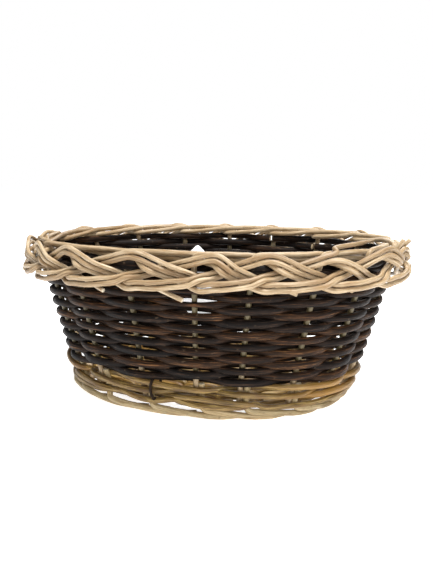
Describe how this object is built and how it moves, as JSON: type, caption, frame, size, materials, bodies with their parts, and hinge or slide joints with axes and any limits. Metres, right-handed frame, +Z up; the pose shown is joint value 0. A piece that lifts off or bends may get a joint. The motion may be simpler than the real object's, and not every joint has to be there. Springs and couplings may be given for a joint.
{
  "type": "oval willow basket",
  "caption": "Open oval wicker basket: willow stakes, dark woven siding, golden waling, woven oval base, plaited rim and a raised foot border.",
  "frame": {"origin": "on the surface the basket stands on, below the middle of the oval", "axes": "+X along the basket's length, +Y across it, +Z up"},
  "size_m": [0.3896, 0.3026, 0.1568],
  "materials": {
    "buff_willow": "satin peeled willow",
    "brown_willow": "satin unpeeled willow bark",
    "golden_willow": "satin willow",
    "dark_bark": "matte bark",
    "white_card": "matte plain card"
  },
  "bodies": {
    "root": {"stake_01": "buff_willow", "stake_02": "buff_willow", "stake_03": "buff_willow", "stake_04": "buff_willow", "stake_05": "buff_willow", "stake_06": "buff_willow", "stake_07": "buff_willow", "stake_08": "buff_willow", "stake_09": "buff_willow", "stake_10": "buff_willow", "stake_11": "buff_willow", "stake_12": "buff_willow", "stake_13": "buff_willow", "stake_14": "buff_willow", "stake_15": "buff_willow", "stake_16": "buff_willow", "stake_17": "buff_willow", "stake_18": "buff_willow", "siding_row_01": "brown_willow", "siding_row_02": "brown_willow", "siding_row_03": "brown_willow", "siding_row_04": "brown_willow", "siding_row_05": "brown_willow", "siding_row_06": "brown_willow", "siding_row_07": "brown_willow", "siding_row_08": "brown_willow", "siding_row_09": "brown_willow", "siding_row_10": "brown_willow", "siding_row_11": "brown_willow", "siding_row_12": "brown_willow", "siding_row_13": "brown_willow", "siding_row_14": "brown_willow", "siding_row_15": "brown_willow", "siding_row_16": "brown_willow", "siding_row_17": "brown_willow", "siding_row_18": "brown_willow", "siding_row_19": "brown_willow", "waling_row_1": "golden_willow", "waling_row_2": "golden_willow", "waling_row_3": "golden_willow", "edge_rod": "golden_willow", "foot_border": "golden_willow", "base_sticks": "buff_willow", "slath_binding": "golden_willow", "base_round_04": "golden_willow", "base_round_05": "golden_willow", "base_round_06": "golden_willow", "base_round_07": "golden_willow", "base_round_08": "golden_willow", "base_round_09": "golden_willow", "base_round_10": "golden_willow", "base_round_11": "golden_willow", "base_round_12": "golden_willow", "base_round_13": "golden_willow", "base_round_14": "golden_willow", "base_round_15": "golden_willow", "base_round_16": "golden_willow", "base_round_17": "golden_willow", "bark_tie": "dark_bark", "blank_tag": "white_card"}
  },
  "joints": []
}
